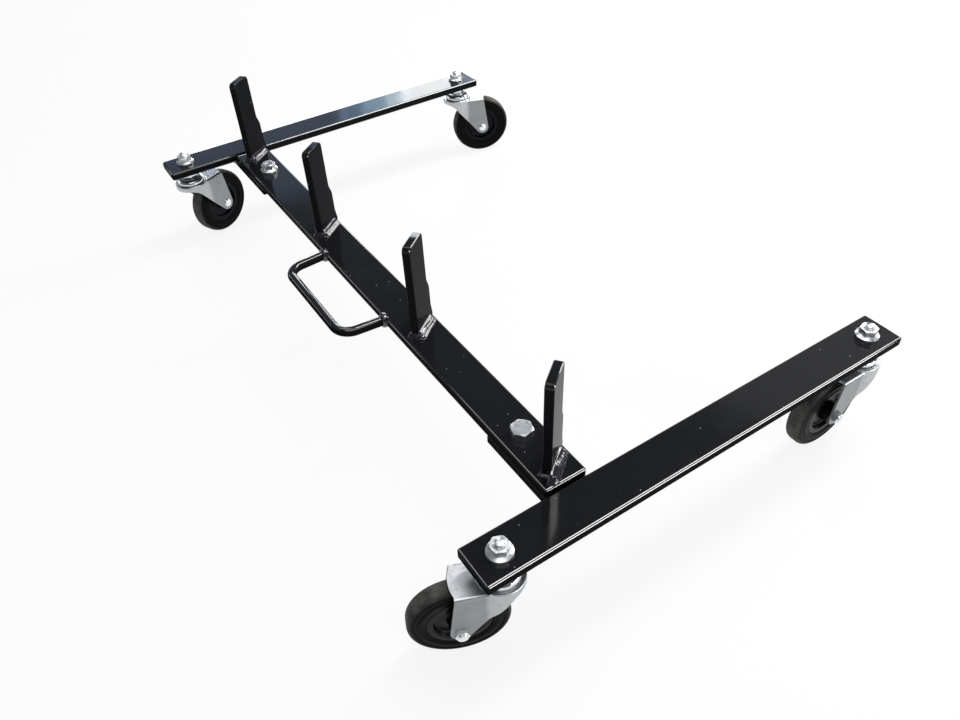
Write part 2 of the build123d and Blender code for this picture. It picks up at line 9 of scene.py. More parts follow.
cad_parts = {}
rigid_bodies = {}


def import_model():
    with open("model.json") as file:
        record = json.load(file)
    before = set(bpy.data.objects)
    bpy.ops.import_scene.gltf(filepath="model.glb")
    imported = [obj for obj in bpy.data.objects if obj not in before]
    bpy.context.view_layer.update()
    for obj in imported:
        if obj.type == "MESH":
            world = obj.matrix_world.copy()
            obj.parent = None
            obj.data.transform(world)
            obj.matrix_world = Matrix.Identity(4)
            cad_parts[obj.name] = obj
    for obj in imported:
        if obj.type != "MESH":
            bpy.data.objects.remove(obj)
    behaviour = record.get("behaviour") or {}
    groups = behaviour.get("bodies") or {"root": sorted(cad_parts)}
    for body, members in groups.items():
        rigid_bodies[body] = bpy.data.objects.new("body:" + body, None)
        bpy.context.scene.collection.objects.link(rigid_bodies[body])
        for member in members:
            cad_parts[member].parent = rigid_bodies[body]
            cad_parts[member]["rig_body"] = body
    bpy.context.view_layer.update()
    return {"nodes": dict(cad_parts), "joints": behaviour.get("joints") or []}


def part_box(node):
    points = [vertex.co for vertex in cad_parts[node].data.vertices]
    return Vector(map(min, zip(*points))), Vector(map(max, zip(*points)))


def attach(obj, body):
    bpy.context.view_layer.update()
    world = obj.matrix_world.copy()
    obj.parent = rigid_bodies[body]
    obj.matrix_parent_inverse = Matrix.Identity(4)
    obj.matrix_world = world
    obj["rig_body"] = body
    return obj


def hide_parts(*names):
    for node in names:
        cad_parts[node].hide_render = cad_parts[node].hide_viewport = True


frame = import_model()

MM = 0.001
UP = Vector((0, 0, 1))
CASTERS = ("near_left", "near_right", "far_left", "far_right")
POST_NUMBERS = range(1, 5)
nodes = frame["nodes"]
joints = {joint["name"]: joint for joint in frame["joints"]}


# Node trees

MIX_FACTOR, MIX_FIRST, MIX_SECOND, MIX_RESULT = 0, 6, 7, 2


def new_material(name):
    mat = bpy.data.materials.new(name)
    mat.use_nodes = True
    tree = mat.node_tree
    return mat, tree, tree.nodes["Principled BSDF"]


def feed(tree, socket, value):
    """Links another node's output to the socket, or sets the socket to a plain value."""
    if isinstance(value, bpy.types.NodeSocket):
        tree.links.new(value, socket)
    else:
        socket.default_value = value


def add_node(tree, kind, settings=None, **inputs):
    node = tree.nodes.new("ShaderNode" + kind)
    for key, value in (settings or {}).items():
        setattr(node, key, value)
    for key, value in inputs.items():
        feed(tree, node.inputs[key.replace("_", " ")], value)
    return node


def object_coords(tree):
    return add_node(tree, "TexCoord").outputs["Object"]


def attribute(tree, name):
    return add_node(tree, "Attribute", {"attribute_name": name}).outputs["Fac"]


def noise_value(tree, coords, scale, detail=3.0, roughness=0.55):
    return add_node(tree, "TexNoise", Vector=coords, Scale=scale, Detail=detail, Roughness=roughness).outputs["Fac"]


def remap(tree, value, span, result):
    """Takes the span (low, high) of a value to the result (low, high), and stops there."""
    ends = {"From_Min": span[0], "From_Max": span[1], "To_Min": result[0], "To_Max": result[1]}
    return add_node(tree, "MapRange", Value=value, **ends).outputs["Result"]


def mix_colour(tree, factor, first, second):
    node = add_node(tree, "Mix", {"data_type": "RGBA"})
    for index, value in ((MIX_FACTOR, factor), (MIX_FIRST, first), (MIX_SECOND, second)):
        feed(tree, node.inputs[index], (*value, 1.0) if isinstance(value, tuple) else value)
    return node.outputs[MIX_RESULT]


def arithmetic(tree, operation, first, second):
    node = add_node(tree, "Math", {"operation": operation})
    for socket, value in zip(node.inputs, (first, second)):
        feed(tree, socket, value)
    return node.outputs[0]


def bump(tree, height, strength, distance, normal=None):
    below = {} if normal is None else {"Normal": normal}
    return add_node(tree, "Bump", Height=height, Strength=strength, Distance=distance, **below).outputs["Normal"]


def specks(tree, coords, scale, size, share):
    """1 on scattered round specks, 0 elsewhere; share is the part of the cells that hold one."""
    solid_part = 0.6
    cells = add_node(tree, "TexVoronoi", Vector=coords, Scale=scale)
    near = remap(tree, cells.outputs["Distance"], (size * solid_part, size), (1.0, 0.0))
    pick = add_node(tree, "SeparateColor", Color=cells.outputs["Color"]).outputs["Red"]
    return arithmetic(tree, "MULTIPLY", near, arithmetic(tree, "GREATER_THAN", pick, 1.0 - share))


def wire(tree, shader, base, roughness, normal=None):
    tree.links.new(base, shader.inputs["Base Color"])
    tree.links.new(roughness, shader.inputs["Roughness"])
    if normal is not None:
        tree.links.new(normal, shader.inputs["Normal"])


# Materials: scales are in repeats per metre, bump distances in metres

NOISE_MIDDLE = (0.3, 0.7)


def black_paint(name, gloss, specular, peel_strength=0.09):
    """Gloss paint: an uneven film with smudges, dust specks and orange peel."""
    smudge_roughness, dust_roughness = 0.07, 0.4
    mat, tree, shader = new_material(name)
    at = object_coords(tree)
    tone = noise_value(tree, at, scale=9.0, detail=4.0)
    dust = specks(tree, at, scale=110.0, size=0.075, share=0.30)
    film = mix_colour(tree, tone, (0.0060, 0.0064, 0.0072), (0.0100, 0.0104, 0.0112))
    base = mix_colour(tree, dust, film, (0.30, 0.31, 0.32))
    smudge = noise_value(tree, at, scale=22.0, detail=6.0, roughness=0.65)
    roughness = remap(tree, smudge, (0.45, 0.75), (gloss, gloss + smudge_roughness))
    roughness = arithmetic(tree, "ADD", roughness, arithmetic(tree, "MULTIPLY", dust, dust_roughness))
    wave = noise_value(tree, at, scale=30.0, detail=2.0)
    peel = noise_value(tree, at, scale=420.0, detail=2.0)
    normal = bump(tree, wave, strength=0.05, distance=0.0015)
    normal = bump(tree, peel, strength=peel_strength, distance=0.0002, normal=normal)
    shader.inputs["Specular IOR Level"].default_value = specular
    wire(tree, shader, base, roughness, normal)
    return mat


def weld_paint():
    """Thin glossy paint over a weld's ripples."""
    mat, tree, shader = new_material("weld_paint")
    at = object_coords(tree)
    tone = noise_value(tree, at, scale=160.0, detail=4.0)
    base = mix_colour(tree, tone, (0.006, 0.006, 0.008), (0.020, 0.019, 0.026))
    roughness = remap(tree, tone, NOISE_MIDDLE, (0.05, 0.11))
    normal = bump(tree, noise_value(tree, at, scale=300.0, detail=2.0), strength=0.06, distance=0.0004)
    shader.inputs["Specular IOR Level"].default_value = 0.9
    wire(tree, shader, base, roughness, normal)
    return mat


def zinc_sheet():
    """Clouded zinc on pressed sheet with grey stains; painted shade makes the legs darker than the neck, and painted
    light makes the faces that look up palest.
    """
    mat, tree, shader = new_material("zinc_sheet")
    at = object_coords(tree)
    cloud = noise_value(tree, at, scale=45.0, detail=5.0, roughness=0.6)
    grain = noise_value(tree, at, scale=700.0, detail=3.0, roughness=0.7)
    stain = noise_value(tree, at, scale=130.0, detail=5.0, roughness=0.7)
    # Painted shade: the legs take darker colours than the neck.
    neck = mix_colour(tree, cloud, (0.38, 0.40, 0.405), (0.56, 0.58, 0.585))
    leg = mix_colour(tree, cloud, (0.20, 0.213, 0.217), (0.34, 0.355, 0.36))
    level = mix_colour(tree, cloud, (0.58, 0.61, 0.63), (0.80, 0.82, 0.83))
    upright = mix_colour(tree, attribute(tree, "leg"), neck, leg)
    # Painted light: faces that look up take the palest colours.
    facing = add_node(tree, "NewGeometry").outputs["Normal"]
    slope = add_node(tree, "SeparateXYZ", Vector=facing).outputs["Z"]
    painted_light_and_shade = mix_colour(tree, remap(tree, slope, (0.25, 0.75), (0.0, 1.0)), upright, level)
    base = mix_colour(tree, remap(tree, stain, (0.55, 0.72), (0.0, 0.6)), painted_light_and_shade, (0.21, 0.22, 0.22))
    roughness = remap(tree, grain, NOISE_MIDDLE, (0.27, 0.43))
    normal = bump(tree, cloud, strength=0.10, distance=0.0012)
    normal = bump(tree, grain, strength=0.16, distance=0.0002, normal=normal)
    shader.inputs["Metallic"].default_value = 1.0
    wire(tree, shader, base, roughness, normal)
    return mat


def zinc_fastener(name, dark, pale, gloss):
    """Zinc on bolts, nuts and turned pieces: faint clouds and a fine grain."""
    cloud_roughness = 0.12
    mat, tree, shader = new_material(name)
    at = object_coords(tree)
    cloud = noise_value(tree, at, scale=120.0, detail=4.0, roughness=0.6)
    grain = noise_value(tree, at, scale=1200.0, detail=2.0, roughness=0.6)
    roughness = remap(tree, cloud, NOISE_MIDDLE, (gloss, gloss + cloud_roughness))
    normal = bump(tree, grain, strength=0.10, distance=0.00015)
    shader.inputs["Metallic"].default_value = 1.0
    wire(tree, shader, mix_colour(tree, cloud, dark, pale), roughness, normal)
    return mat


def bearing_steel():
    """Polished steel under an oil film."""
    mat, tree, shader = new_material("bearing_steel")
    film = noise_value(tree, object_coords(tree), scale=250.0, detail=3.0)
    base = mix_colour(tree, film, (0.50, 0.50, 0.50), (0.68, 0.68, 0.69))
    shader.inputs["Metallic"].default_value = 1.0
    wire(tree, shader, base, remap(tree, film, NOISE_MIDDLE, (0.10, 0.22)))
    return mat


def tyre_rubber():
    """Black rubber with a paler tread: partly scuffed, partly painted light that stands for the light falling on the
    tread's top.
    """
    mat, tree, shader = new_material("tyre_rubber")
    at = object_coords(tree)
    scuff = noise_value(tree, at, scale=60.0, detail=6.0, roughness=0.7)
    scuffed_and_painted_light = arithmetic(tree, "MULTIPLY", attribute(tree, "tread"), remap(tree, scuff, (0.30, 0.65), (0.25, 1.0)))
    shade = noise_value(tree, at, scale=35.0, detail=4.0)
    side = mix_colour(tree, shade, (0.002, 0.002, 0.0024), (0.006, 0.0058, 0.0058))
    # The tread colour is paler for scuffs and also painted lighter as light falling on the tread.
    base = mix_colour(tree, scuffed_and_painted_light, side, (0.120, 0.116, 0.105))
    roughness = remap(tree, scuffed_and_painted_light, (0.0, 1.0), (0.38, 0.62))
    grain = noise_value(tree, at, scale=520.0, detail=4.0, roughness=0.65)
    shader.inputs["Specular IOR Level"].default_value = 0.03
    wire(tree, shader, base, roughness, bump(tree, grain, strength=0.15, distance=0.0003))
    return mat


def core_plastic():
    """Moulded black plastic with a slight haze."""
    mat, tree, shader = new_material("core_plastic")
    at = object_coords(tree)
    haze = noise_value(tree, at, scale=50.0, detail=4.0)
    base = mix_colour(tree, haze, (0.0025, 0.0025, 0.004), (0.006, 0.006, 0.009))
    roughness = remap(tree, haze, NOISE_MIDDLE, (0.16, 0.26))
    grain = noise_value(tree, at, scale=600.0, detail=3.0)
    shader.inputs["Specular IOR Level"].default_value = 0.08
    wire(tree, shader, base, roughness, bump(tree, grain, strength=0.06, distance=0.0002))
    return mat


# Copies of one black paint that differ only in how strongly they reflect: side_paint and post_paint hardly reflect, a
# painted shade that keeps sides, post faces and the rod's underside dark; edge_paint and rod_paint reflect strongly
# so that the edge lines come out bright.
flat_paint = black_paint("flat_paint", gloss=0.08, specular=0.35)
edge_paint = black_paint("edge_paint", gloss=0.10, specular=1.0)
side_paint = black_paint("side_paint", gloss=0.12, specular=0.001)
post_paint = black_paint("post_paint", gloss=0.12, specular=0.012)
rod_paint = black_paint("rod_paint", gloss=0.07, specular=1.0, peel_strength=0.01)
weld_metal = weld_paint()
sheet_metal = zinc_sheet()
bright_metal = zinc_fastener("zinc_fastener", dark=(0.76, 0.78, 0.79), pale=(0.92, 0.93, 0.93), gloss=0.26)
# A darker copy of the zinc for the bolt head's dish floor: a painted shade in the dish, with a rougher finish.
dish_shade_metal = zinc_fastener("zinc_dish_shade", dark=(0.36, 0.38, 0.39), pale=(0.56, 0.58, 0.59), gloss=0.34)
turned_metal = zinc_fastener("zinc_turned", dark=(0.62, 0.64, 0.65), pale=(0.82, 0.84, 0.85), gloss=0.10)
bearing_metal = bearing_steel()
rubber = tyre_rubber()
plastic = core_plastic()


def dress(obj, mat):
    obj.data.materials.clear()
    obj.data.materials.append(mat)


for name, obj in nodes.items():
    if "weld" in name:
        dress(obj, weld_metal)
    elif name == "handle":
        dress(obj, rod_paint)
    elif name.startswith("post") or name.endswith(("bar", "plate")):
        dress(obj, flat_paint)
    elif name.endswith("fork"):
        dress(obj, sheet_metal)
    elif name.endswith(("race_cap", "stem")):
        dress(obj, turned_metal)
    elif name.endswith(("balls", "bush")):
        dress(obj, bearing_metal)
    elif name.endswith("tyre"):
        dress(obj, rubber)
    elif name.endswith("wheel_core"):
        dress(obj, plastic)
    else:
        dress(obj, bright_metal)


# Pieces that stand for CAD nodes

SPLIT_VERTEX_GAP = 0.002 * MM
FLAT_ANGLE = 0.4
ROUNDED_EDGE_ANGLE = 28.0
ROUNDING_SEGMENTS = 2


def mesh_object(name, bm, *mats, sharp_angle=35.0):
    bmesh.ops.recalc_face_normals(bm, faces=bm.faces)
    mesh = bpy.data.meshes.new(name)
    for mat in mats:
        mesh.materials.append(mat)
    bm.to_mesh(mesh)
    bm.free()
    mesh.shade_smooth()
    mesh.set_sharp_from_angle(angle=math.radians(sharp_angle))
    obj = bpy.data.objects.new(name, mesh)
    bpy.context.scene.collection.objects.link(obj)
    return obj


def keep_flats_flat(obj):
    """Large faces set the shading at their borders, so that only the roundings look round."""
    weigh = obj.modifiers.new("flat_faces", "WEIGHTED_NORMAL")
    weigh.keep_sharp = True
    weigh.weight = 100


def stand_for(obj, node):
    """obj stands in the CAD node's place on its body, and the node is hidden."""
    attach(obj, nodes[node]["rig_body"])
    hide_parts(node)


def bridge(bm, first, second):
    """The faces between two closed loops of as many points each."""
    faces = []
    for k in range(len(first)):
        nxt = (k + 1) % len(first)
        faces.append(bm.faces.new((first[k], first[nxt], second[nxt], second[k])))
    return faces


def cad_bmesh(node):
    """The node's mesh with its split vertices joined and its flat faces merged."""
    bm = bmesh.new()
    bm.from_mesh(nodes[node].data)
    bmesh.ops.remove_doubles(bm, verts=bm.verts, dist=SPLIT_VERTEX_GAP)
    bmesh.ops.dissolve_limit(bm, angle_limit=math.radians(FLAT_ANGLE), verts=bm.verts, edges=bm.edges)
    return bm


def bisect(bm, point, normal, clear_outer=False):
    geom = list(bm.verts) + list(bm.edges) + list(bm.faces)
    return bmesh.ops.bisect_plane(bm, geom=geom, plane_co=point, plane_no=normal, clear_outer=clear_outer)["geom_cut"]


def round_edges(bm, width):
    least = math.radians(ROUNDED_EDGE_ANGLE)
    edges = [e for e in bm.edges if len(e.link_faces) == 2 and e.calc_face_angle(0.0) > least]
    bmesh.ops.bevel(
        bm, geom=edges, offset=width, segments=ROUNDING_SEGMENTS, profile=0.5, affect="EDGES", clamp_overlap=True
    )


def soften(node, width, *mats, dish=0.0):
    """The CAD node with rounded edges; the floor of a dish that deep in its top takes the second material."""
    level_slack, looks_up = 0.1 * MM, 0.9
    bm = cad_bmesh(node)
    round_edges(bm, width)
    if dish:
        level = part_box(node)[1].z - dish
        for face in bm.faces:
            on_level = abs(face.calc_center_median().z - level) < level_slack
            face.material_index = int(face.normal.z > looks_up and on_level)
    piece = mesh_object(node + "_finish", bm, *mats)
    keep_flats_flat(piece)
    stand_for(piece, node)


# Flat stock: paint lies in narrow flats along the rounded edges, which catch the light as lines

FLAT, EDGE, SIDE = range(3)
# SIDE faces take side_paint, which hardly reflects: a painted shade.
BAR_PAINTS = (flat_paint, edge_paint, side_paint)
POST_PAINTS = (flat_paint, edge_paint, post_paint)
# Tilt from the flat face in degrees, width in mm and paint, from the flat face out to the side
EDGE_FLATS = ((10.0, 0.8, EDGE), (38.0, 1.1, EDGE), (52.0, 0.7, EDGE), (75.0, 0.5, SIDE))
SLAB_CORNER = 2.6 * MM
SLAB_CORNER_STEPS = 12
LEAST_CORNER = 0.2 * MM
SLAB_SHARP_ANGLE = 8.0
SLAB_EDGE_SCALES = {
    "near_cross_bar": 1.0, "far_cross_bar": 1.4, "main_bar": 1.0, "near_stub_plate": 0.6, "far_stub_plate": 0.6,
}
POST_RIM = 0.8 * MM
POST_STEP_SHARE = 0.7
POST_SHARP_ANGLE = 25.0


def edge_levels(scale):
    """(inset from the side, depth below the face, paint above) from the side face in to the flat face."""
    levels = [(0.0, sum(w * math.sin(math.radians(t)) for t, w, _ in EDGE_FLATS) * scale * MM, SIDE)]
    for tilt, width, paint in reversed(EDGE_FLATS):
        inset, depth, _ = levels[-1]
        turn, reach = math.radians(tilt), width * scale * MM
        levels.append((inset + reach * math.cos(turn), depth - reach * math.sin(turn), paint))
    return levels


def plan_loop(bm, low, high, inset, z, corner):
    """A rectangle with rounded corners at height z."""
    radius = max(LEAST_CORNER, corner - inset)
    middle = (low + high) / 2
    reach_x, reach_y = (high.x - low.x) / 2 - inset - radius, (high.y - low.y) / 2 - inset - radius
    loop = []
    for quarter, (sx, sy) in enumerate(((1, 1), (-1, 1), (-1, -1), (1, -1))):
        for k in range(SLAB_CORNER_STEPS + 1):
            turn = math.pi / 2 * (quarter + k / SLAB_CORNER_STEPS)
            x = middle.x + sx * reach_x + radius * math.cos(turn)
            y = middle.y + sy * reach_y + radius * math.sin(turn)
            loop.append(bm.verts.new((x, y, z)))
    return loop


def make_slab(node, scale):
    """A bar or plate whose long edges and ends carry the edge flats above and below."""
    low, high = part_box(node)
    levels = edge_levels(scale)
    bm = bmesh.new()
    rows = [(inset, low.z + depth) for inset, depth, _ in reversed(levels)]
    rows += [(inset, high.z - depth) for inset, depth, _ in levels]
    loops = [plan_loop(bm, low, high, inset, z, SLAB_CORNER * scale) for inset, z in rows]
    edge_paints = [paint for _, _, paint in levels[1:]]
    row_paints = [*reversed(edge_paints), SIDE, *edge_paints]
    for first, second, paint in zip(loops, loops[1:], row_paints):
        for face in bridge(bm, first, second):
            face.material_index = paint
    bm.faces.new(list(reversed(loops[0]))).material_index = FLAT
    bm.faces.new(loops[-1]).material_index = FLAT
    stand_for(mesh_object(node + "_finish", bm, *BAR_PAINTS, sharp_angle=SLAB_SHARP_ANGLE), node)


def face_outline(bm, normal):
    """The ordered border of the flat face that looks along normal."""
    same_way = 0.999
    face_set = {f for f in bm.faces if f.normal.dot(normal) > same_way}
    border = {e for f in face_set for e in f.edges if len(face_set.intersection(e.link_faces)) == 1}
    start = min(border, key=lambda e: e.verts[0].co.z)
    outline, edge = [start.verts[0]], start
    while len(outline) < len(border):
        outline.append(edge.other_vert(outline[-1]))
        edge = next(e for e in outline[-1].link_edges if e in border and e is not edge)
    return [v.co.copy() for v in outline]


def spread(outline, normal, reach):
    """The outline moved outwards in its own plane."""
    centre = sum(outline, Vector()) / len(outline)
    moved = []
    for k, here in enumerate(outline):
        before, after = outline[k - 1], outline[(k + 1) % len(outline)]
        first, second = (here - before).cross(normal).normalized(), (after - here).cross(normal).normalized()
        moved.append(here + (first + second) * (reach / (1.0 + first.dot(second))))
    grew = sum((m - centre).length for m in moved) > sum((h - centre).length for h in outline)
    return moved if grew else spread(outline, -normal, reach)


def make_post(node):
    """The plate with flat bright rims at its top; the rest carries the copy of the paint that hardly reflects, a
    painted shade.
    """
    upright_slope, steep_slope = 0.01, 0.2
    plate = cad_bmesh(node)
    upright_faces = [f for f in plate.faces if abs(f.normal.z) < upright_slope]
    facing = max(upright_faces, key=lambda f: f.calc_area()).normal.copy()
    front = face_outline(plate, facing)
    depths = [v.co.dot(facing) for v in plate.verts]
    plate.free()
    thickness = max(depths) - min(depths)
    foot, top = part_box(node)[0].z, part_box(node)[1].z
    step_top = foot + POST_STEP_SHARE * (top - foot)
    edge = [Vector((p.x, p.y, max(p.z, foot))) for p in spread(front, facing, POST_RIM)]
    bm = bmesh.new()
    loops = []
    for outline, depth in ((front, 0.0), (edge, POST_RIM), (edge, thickness - POST_RIM), (front, thickness)):
        loops.append([bm.verts.new(p - facing * depth) for p in outline])
    for paint, first, second in zip((EDGE, FLAT, EDGE), loops, loops[1:]):
        for face in bridge(bm, first, second):
            face.normal_update()
            takes_shaded_copy = abs(face.normal.z) < steep_slope or face.calc_center_median().z < step_top
            face.material_index = SIDE if takes_shaded_copy else paint
    for loop in (loops[0], loops[-1]):
        bm.faces.new(loop).material_index = SIDE
    stand_for(mesh_object(node + "_finish", bm, *POST_PAINTS, sharp_angle=POST_SHARP_ANGLE), node)


for node, scale in SLAB_EDGE_SCALES.items():
    make_slab(node, scale)
for number in POST_NUMBERS:
    make_post(f"post_{number}")


# Turned pieces: rings of (radius, along) points round the local Z axis

def lathe(profile, segments, place):
    bm = bmesh.new()
    rings = []
    for step in range(segments):
        turn = 2 * math.pi * step / segments
        ring = [Vector((r * math.cos(turn), r * math.sin(turn), along)) for r, along in profile]
        rings.append([bm.verts.new(place @ point) for point in ring])
    for first, second in zip(rings, rings[1:] + rings[:1]):
        bridge(bm, first, second)
    return bm


def rounded_outline(corners, steps=5):
    """Closed outline through (x, y, radius) corners, each rounded by its radius."""
    straight_on = 0.999
    points = []
    for k, (x, y, radius) in enumerate(corners):
        here = Vector((x, y))
        before = (Vector(corners[k - 1][:2]) - here).normalized()
        after = (Vector(corners[(k + 1) % len(corners)][:2]) - here).normalized()
        half = before.angle(after) / 2
        if radius == 0 or math.sin(half) > straight_on:
            points.append((x, y))
            continue
        middle = here + (before + after).normalized() * (radius / math.sin(half))
        start = here + before * (radius / math.tan(half)) - middle
        stop = here + after * (radius / math.tan(half)) - middle
        sweep = start.angle_signed(stop)
        for i in range(steps + 1):
            spoke = start.copy()
            spoke.rotate(Matrix.Rotation(-sweep * i / steps, 2))
            points.append(tuple(middle + spoke))
    return points


# Casters: each has its own upright frame, with X along the trail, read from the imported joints

TYRE_SEGMENTS, CORE_SEGMENTS = 120, 96
TYRE_SHARP_ANGLE = 50.0
TREAD_INNER, TREAD_OUTER = 0.0465, 0.0500
LEG_ROOT, LEG_PLAIN = 13.0 * MM, 19.0 * MM
FORK_ROUNDING, CAP_ROUNDING = 0.35 * MM, 0.3 * MM
STEM_ROUNDING, AXLE_BOLT_ROUNDING, AXLE_NUT_ROUNDING = 0.3 * MM, 0.25 * MM, 0.35 * MM
FASTENER_ROUNDING = 0.4 * MM
BOLT_HEAD_DISH = 0.5 * MM
STEM_RADIUS, STEM_PITCH, STEM_CHAMFER = 6.0 * MM, 1.75 * MM, 1.5 * MM
THREAD_START_BELOW_NUT_TOP = 1.0 * MM


def caster_frames(name):
    stem = Vector(joints[name + "_swivel_turn"]["pos_m"])
    axle = Vector(joints[name + "_wheel_roll"]["pos_m"])
    back = Vector((axle.x - stem.x, axle.y - stem.y, 0)).normalized()
    upright = Matrix((back, UP.cross(back), UP)).transposed().to_4x4()
    rolling = Matrix((back, UP, back.cross(UP))).transposed().to_4x4()
    return Matrix.Translation((stem.x, stem.y, 0)) @ upright, Matrix.Translation(axle) @ rolling


def share(value, low, high):
    """How far a value lies from low to high, held between 0 and 1."""
    return min(1.0, max(0.0, (value - low) / (high - low)))


def tyre_profile():
    """Outline round the tread, the shoulders with their mould grooves, the sides and the bore, from mm."""
    shoulder_radius, shoulder_half = 44.8, 4.25
    reach, groove_reach, groove_steps = 5.95, 5.65, (3, 4, 7, 8)
    step_degrees, steps = 5, 18
    crown = [(50.78, 0.0), (50.78, 2.0), (50.76, shoulder_half)]
    shoulder = []
    for k in range(1, steps + 1):
        turn = math.radians(step_degrees * k)
        r = groove_reach if k in groove_steps else reach
        shoulder.append((shoulder_radius + r * math.cos(turn), shoulder_half + r * math.sin(turn)))
    side_groove = [(43.4, 10.25), (43.1, 10.05), (42.8, 9.85), (41.9, 9.85), (41.6, 10.05), (41.3, 10.2)]
    bore_edge = [(37.0, 10.1), (36.4, 9.95), (36.0, 9.75), (33.4, 9.7), (32.5, 9.3), (32.05, 8.4)]
    half = crown + shoulder + side_groove + bore_edge
    whole = half + [(r, -along) for r, along in reversed(half[1:])]
    return [(r * MM, along * MM) for r, along in whole]


def core_profile():
    """Outline round the wheel core's hub, web and rim, from (radius, along, corner rounding) in mm."""
    hub = [(6.53, 17.15, 0.4), (11.0, 17.15, 1.2)]
    web = [(12.0, 4.0, 2.2), (24.0, 4.0, 2.2)]
    rim = [(26.0, 9.25, 1.2), (32.0, 9.25, 0.3)]
    half = hub + web + rim
    whole = half + [(r, -along, radius) for r, along, radius in reversed(half)]
    return [(r * MM, along * MM) for r, along in rounded_outline(whole)]


def mark_tread(obj, axle_place):
    """Writes how much each vertex belongs to the tread: 1 on it, 0 on the sides."""
    centre = axle_place.translation
    axis = axle_place.col[2].xyz
    tread = obj.data.attributes.new("tread", "FLOAT", "POINT")
    for vert in obj.data.vertices:
        arm = vert.co - centre
        radius = (arm - axis * arm.dot(axis)).length
        tread.data[vert.index].value = share(radius, TREAD_INNER, TREAD_OUTER)


def add_thread(bm, place, low, high):
    """A closed threaded rod end that stands on low and has a chamfered flat top."""
    around, rows_per_pitch, depth = 40, 8, 0.55 * STEM_PITCH
    crest, root = 0.15, 0.85
    rows = round((high - low) / STEM_PITCH * rows_per_pitch)
    rings = []
    for row in range(rows + 1):
        z = low + (high - low) * row / rows
        chamfered = STEM_RADIUS - max(0.0, z - (high - STEM_CHAMFER))
        ring = []
        for step in range(around):
            along_pitch = (z / STEM_PITCH - step / around) % 1.0
            r = min(STEM_RADIUS - depth * share(abs(along_pitch - 0.5) * 2, crest, root), chamfered)
            turn = 2 * math.pi * step / around
            ring.append(bm.verts.new(place @ Vector((r * math.cos(turn), r * math.sin(turn), z))))
        rings.append(ring)
    for first, second in zip(rings, rings[1:]):
        bridge(bm, first, second)
    bm.faces.new(list(reversed(rings[0])))
    bm.faces.new(rings[-1])


def make_stem(name, place):
    """The CAD stem below the nut's top, with a brighter threaded end above it."""
    node = name + "_stem"
    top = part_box(node)[1].z
    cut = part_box("stem_nuts")[1].z - THREAD_START_BELOW_NUT_TOP
    bm = cad_bmesh(node)
    cut_geom = bisect(bm, (0, 0, cut), UP, clear_outer=True)
    bmesh.ops.contextual_create(bm, geom=[e for e in cut_geom if isinstance(e, bmesh.types.BMEdge)])
    round_edges(bm, STEM_ROUNDING)
    add_thread(bm, place, cut, top)
    for face in bm.faces:
        face.material_index = int(face.calc_center_median().z > cut)
    stand_for(mesh_object(node + "_finish", bm, turned_metal, bright_metal), node)


def make_fork(name, place):
    """The CAD fork cut at its legs' roots; each vertex knows how far it lies on a leg."""
    node = name + "_fork"
    back = place.col[0].xyz
    bm = cad_bmesh(node)
    for along in (LEG_ROOT, LEG_PLAIN):
        bisect(bm, place @ Vector((along, 0, 0)), back)
    round_edges(bm, FORK_ROUNDING)
    piece = mesh_object(node + "_finish", bm, sheet_metal)
    # The leg share drives the painted shade that makes the legs darker than the neck in zinc_sheet.
    leg = piece.data.attributes.new("leg", "FLOAT", "POINT")
    for vert in piece.data.vertices:
        leg.data[vert.index].value = share((vert.co - place.translation).dot(back), LEG_ROOT, LEG_PLAIN)
    keep_flats_flat(piece)
    stand_for(piece, node)


for name in CASTERS:
    upright, rolling = caster_frames(name)
    tyre_mesh = lathe(tyre_profile(), TYRE_SEGMENTS, rolling)
    tyre = mesh_object(name + "_tyre_finish", tyre_mesh, rubber, sharp_angle=TYRE_SHARP_ANGLE)
    mark_tread(tyre, rolling)
    stand_for(tyre, name + "_tyre")
    core = mesh_object(name + "_core_finish", lathe(core_profile(), CORE_SEGMENTS, rolling), plastic)
    stand_for(core, name + "_wheel_core")
    make_stem(name, upright)
    make_fork(name, upright)
    soften(name + "_race_cap", CAP_ROUNDING, turned_metal)
    soften(name + "_axle_bolt", AXLE_BOLT_ROUNDING, bright_metal)
    soften(name + "_axle_nut", AXLE_NUT_ROUNDING, bright_metal)
# The bolt head's dish floor takes the darker zinc copy, a painted shade.
soften("near_joint_bolt", FASTENER_ROUNDING, bright_metal, dish_shade_metal, dish=BOLT_HEAD_DISH)
for node in ("stem_nuts", "near_joint_nut", "far_joint_bolt", "far_joint_nut", "kingpin_washers"):
    soften(node, FASTENER_ROUNDING, bright_metal)


# Handle: the rod swept again, glossy on top; round its sides and below it takes the paint copy that hardly reflects,
# a painted shade

BAR_TOP, BAR_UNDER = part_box("main_bar")[1].z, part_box("main_bar")[0].z
BAR_LEFT, BAR_NEAR_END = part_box("main_bar")[0].x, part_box("main_bar")[0].y
ROD_RADIUS, ROD_BEND = 6.0 * MM, 21.0 * MM
ROD_END_Y, ROD_SPLAY = 83.5 * MM, 4.3 * MM
ROD_AROUND, ROD_BEND_STEPS = 64, 16
ROD_GLOSS_FROM = 0.69


